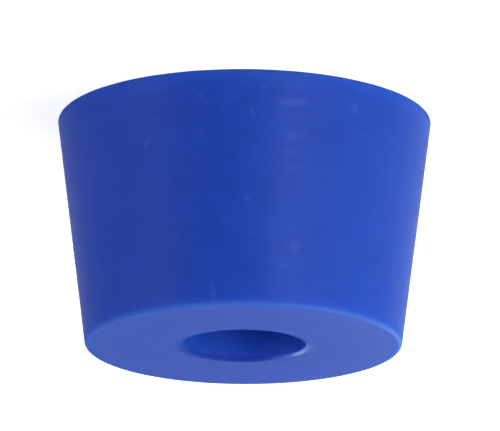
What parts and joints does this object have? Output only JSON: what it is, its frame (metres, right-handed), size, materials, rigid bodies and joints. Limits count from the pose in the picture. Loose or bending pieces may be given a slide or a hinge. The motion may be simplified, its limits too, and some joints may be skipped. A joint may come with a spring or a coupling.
{
  "type": "rubber stopper",
  "caption": "Tapered round rubber stopper with a straight hole through it, to close a vessel's neck round a tube.",
  "frame": {"origin": "centre of the wide end's face, which the stopper stands on", "axes": "+Z along the axis, from the wide end's face to the narrow end's face; X and Y lie in the wide end's face"},
  "size_m": [0.0412, 0.0412, 0.0254],
  "materials": {
    "blue_rubber": "satin, slightly translucent moulded silicone rubber"
  },
  "bodies": {
    "root": {"stopper": "blue_rubber"}
  },
  "joints": []
}
